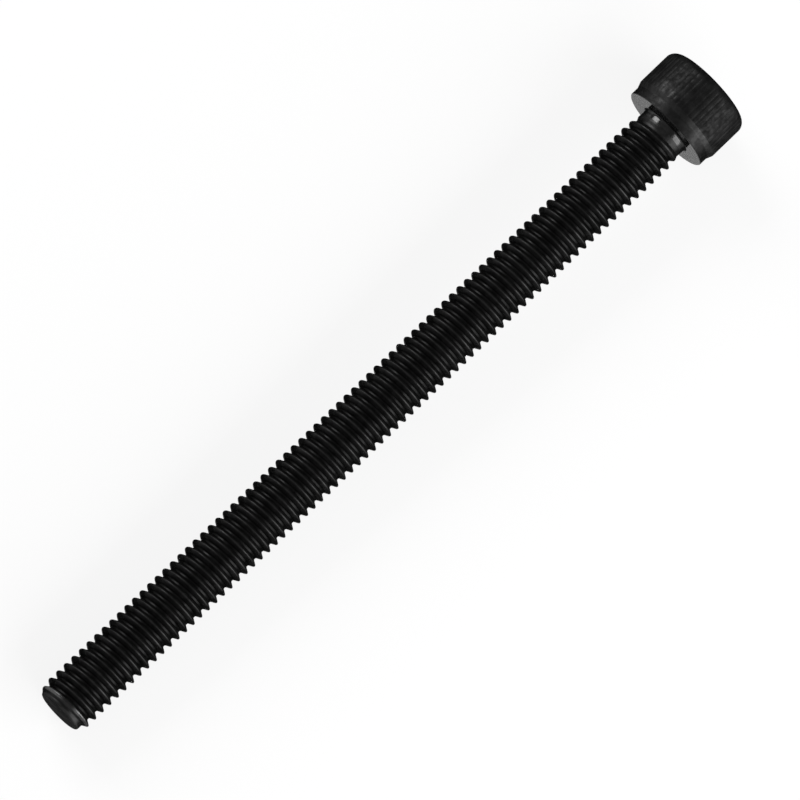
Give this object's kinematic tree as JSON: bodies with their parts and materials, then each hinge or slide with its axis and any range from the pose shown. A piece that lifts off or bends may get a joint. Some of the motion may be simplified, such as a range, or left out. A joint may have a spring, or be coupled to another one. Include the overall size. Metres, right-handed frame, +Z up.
{
  "type": "hex socket cap screw",
  "caption": "Fully threaded hex socket cap screw in black oxide steel, with a knurled cylindrical head and a short plain neck, lying on its side.",
  "frame": {"origin": "on the surface that the screw lies on, under the middle of its overall length", "axes": "+X along the screw from its tip towards its head, seen from above; +Z up; the screw's own axis rises 1.45 degrees from +X towards +Z, because it lies on its head's knurl and on the thread at its tip"},
  "size_m": [0.0865, 0.0098, 0.0099],
  "materials": {
    "black_oxide_steel": "black oxide with a thin film of oil, semi-gloss"
  },
  "bodies": {
    "root": {"screw": "black_oxide_steel"}
  },
  "joints": []
}
